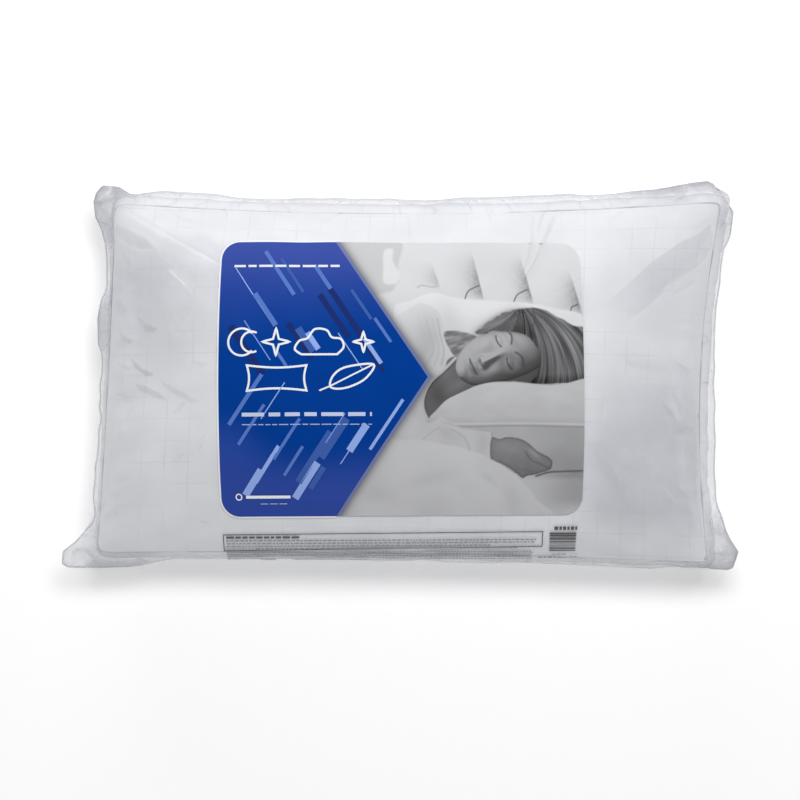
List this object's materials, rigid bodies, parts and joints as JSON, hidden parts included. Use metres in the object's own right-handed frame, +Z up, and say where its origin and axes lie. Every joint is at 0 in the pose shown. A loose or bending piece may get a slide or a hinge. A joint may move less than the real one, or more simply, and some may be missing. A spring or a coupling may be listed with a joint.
{
  "type": "bed pillow",
  "caption": "White gusseted bed pillow with piped seams, lying flat in a sealed clear film bag with a printed front label.",
  "frame": {"origin": "on the surface that the bag lies on, under the middle of the bag's outline", "axes": "+X along the pillow's length towards the printed picture's end, +Y across it towards the label's upper edge, +Z up out of the printed face"},
  "size_m": [0.7714, 0.4414, 0.1812],
  "materials": {
    "fill": "matte",
    "cotton": "matte",
    "cord": "matte",
    "piping": "matte",
    "thread": "satin",
    "label_cloth": "matte",
    "film": "gloss",
    "film_seal": "gloss",
    "blue_ink": "satin",
    "silver_ink": "satin",
    "grey_ink": "satin",
    "dark_ink": "satin"
  },
  "bodies": {
    "root": {"fibre_fill": "fill", "top_panel": "cotton", "bottom_panel": "cotton", "gusset_front_strip": "cotton", "gusset_back_strip": "cotton", "top_piping_cord": "cord", "top_piping_cover": "piping", "bottom_piping_cord": "cord", "bottom_piping_cover": "piping", "top_seam_thread": "thread", "bottom_seam_thread": "thread", "closing_stitches": "thread", "care_label": "label_cloth", "bag_top_film": "film", "bag_bottom_film": "film", "bag_left_end_seal": "film_seal", "bag_right_end_seal": "film_seal", "label_arrow_print": "blue_ink", "label_arrow_border": "silver_ink", "label_picture_print": "grey_ink", "info_box_print": "dark_ink", "info_band_print": "dark_ink", "barcode_print": "dark_ink"}
  },
  "joints": []
}
